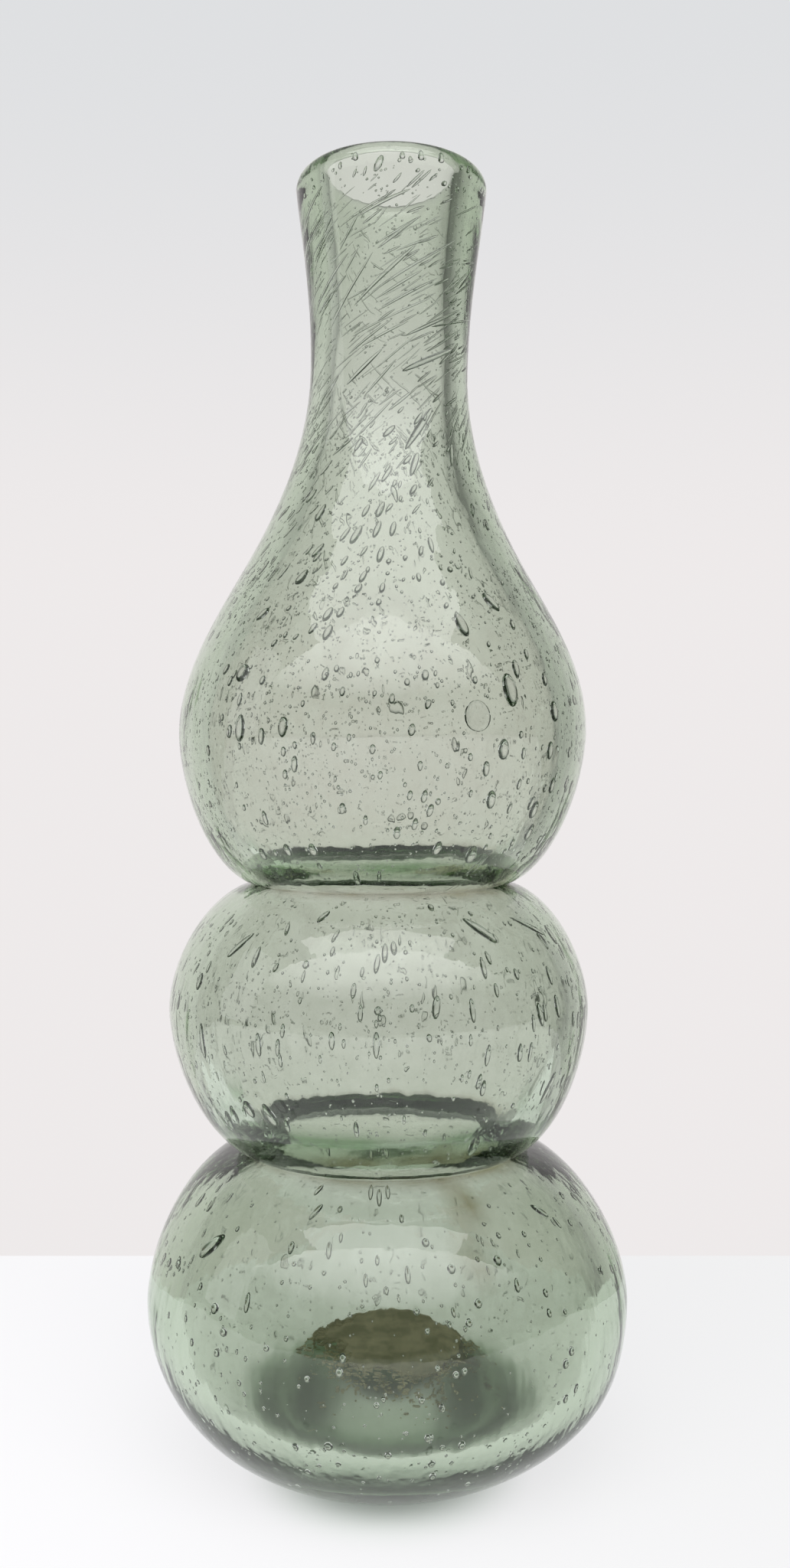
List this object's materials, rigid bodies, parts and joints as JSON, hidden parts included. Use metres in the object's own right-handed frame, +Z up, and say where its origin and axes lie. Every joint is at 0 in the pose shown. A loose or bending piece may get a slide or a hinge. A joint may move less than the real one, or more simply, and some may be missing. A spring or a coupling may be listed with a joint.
{
  "type": "bud vase",
  "caption": "Hand-blown bubble-glass bud vase of stacked bulbs with pinched waists, a long flared neck and a kicked-up foot with a pontil mark.",
  "frame": {"origin": "on the table under the middle of the foot", "axes": "+Z up the axis of the vase, towards the mouth"},
  "size_m": [0.0946, 0.0946, 0.25],
  "materials": {
    "green_glass": "fire-polished, clear, with trapped bubbles",
    "pontil_glass": "broken and roughly ground"
  },
  "bodies": {
    "root": {"outer_gather": "green_glass", "inner_gather": "green_glass", "pontil_wad": "pontil_glass"}
  },
  "joints": []
}
